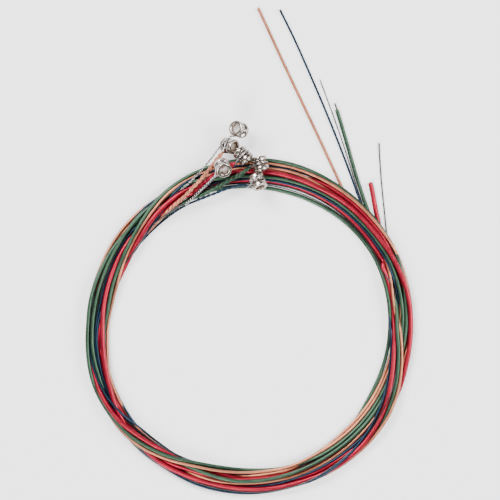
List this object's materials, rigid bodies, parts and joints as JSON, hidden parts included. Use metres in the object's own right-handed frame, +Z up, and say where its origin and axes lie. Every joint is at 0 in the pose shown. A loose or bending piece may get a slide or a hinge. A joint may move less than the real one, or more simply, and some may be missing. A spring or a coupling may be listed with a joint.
{
  "type": "guitar string set",
  "caption": "Coiled set of ball-end steel guitar strings: coloured coated wound strings and plain strings with grooved barrel ends, lock twists and straight free tails.",
  "frame": {"origin": "centre of the whole set's footprint, on the surface that the coil lies on", "axes": "+Z up, square to the coil; +Y towards the ball ends and the free tails; +X to the right seen from above"},
  "size_m": [0.09, 0.1308, 0.0104],
  "materials": {
    "ball_nickel": "bright nickel plate",
    "plain_steel": "drawn wire, satin",
    "coated_red": "thin satin polymer coat on round wrap wire",
    "coated_green": "thin satin polymer coat on round wrap wire",
    "coated_orange": "thin satin polymer coat on round wrap wire",
    "coated_blue": "thin satin polymer coat on round wrap wire"
  },
  "bodies": {
    "strings": {"string_1_core_loop": "plain_steel", "string_1_lock_twist": "plain_steel", "string_1_coil": "plain_steel", "string_1_tail": "plain_steel", "string_2_core_loop": "plain_steel", "string_2_lock_twist": "plain_steel", "string_2_coil": "plain_steel", "string_2_tail": "plain_steel", "string_3_core_loop": "plain_steel", "string_3_lock_twist": "coated_blue", "string_3_coil": "coated_blue", "string_3_wrap_tail": "coated_blue", "string_3_core_wire": "plain_steel", "string_4_core_loop": "plain_steel", "string_4_lock_twist": "coated_orange", "string_4_coil": "coated_orange", "string_4_wrap_tail": "coated_orange", "string_4_core_wire": "plain_steel", "string_5_core_loop": "plain_steel", "string_5_lock_twist": "coated_green", "string_5_coil": "coated_green", "string_5_wrap_tail": "coated_green", "string_5_core_wire": "plain_steel", "string_6_core_loop": "plain_steel", "string_6_lock_twist": "coated_red", "string_6_coil": "coated_red", "string_6_wrap_tail": "coated_red", "string_6_core_wire": "plain_steel"},
    "ball_1": {"string_1_ball_end": "ball_nickel"},
    "ball_2": {"string_2_ball_end": "ball_nickel"},
    "ball_3": {"string_3_ball_end": "ball_nickel"},
    "ball_4": {"string_4_ball_end": "ball_nickel"},
    "ball_5": {"string_5_ball_end": "ball_nickel"},
    "ball_6": {"string_6_ball_end": "ball_nickel"}
  },
  "joints": [
    {"name": "ball_1_spin", "type": "hinge", "parent": "strings", "child": "ball_1", "pos_m": [-0.003, 0.0324, 0.0067], "axis": [-0.518, 0.1683, 0.8387], "continuous": true},
    {"name": "ball_2_spin", "type": "hinge", "parent": "strings", "child": "ball_2", "pos_m": [-0.0073, 0.0221, 0.00775], "axis": [0.224, -0.4803, 0.848], "continuous": true},
    {"name": "ball_3_spin", "type": "hinge", "parent": "strings", "child": "ball_3", "pos_m": [0.00215, 0.0184, 0.0058], "axis": [0.3473, -0.8597, 0.3746], "continuous": true},
    {"name": "ball_4_spin", "type": "hinge", "parent": "strings", "child": "ball_4", "pos_m": [-0.0055, 0.02805, 0.0033], "axis": [0.7433, -0.1853, 0.6428], "continuous": true},
    {"name": "ball_5_spin", "type": "hinge", "parent": "strings", "child": "ball_5", "pos_m": [0.00275, 0.0232, 0.0052], "axis": [0.2413, -0.9679, 0.0698], "continuous": true},
    {"name": "ball_6_spin", "type": "hinge", "parent": "strings", "child": "ball_6", "pos_m": [-0.00185, 0.0254, 0.0057], "axis": [0.6879, -0.7123, 0.1392], "continuous": true}
  ]
}
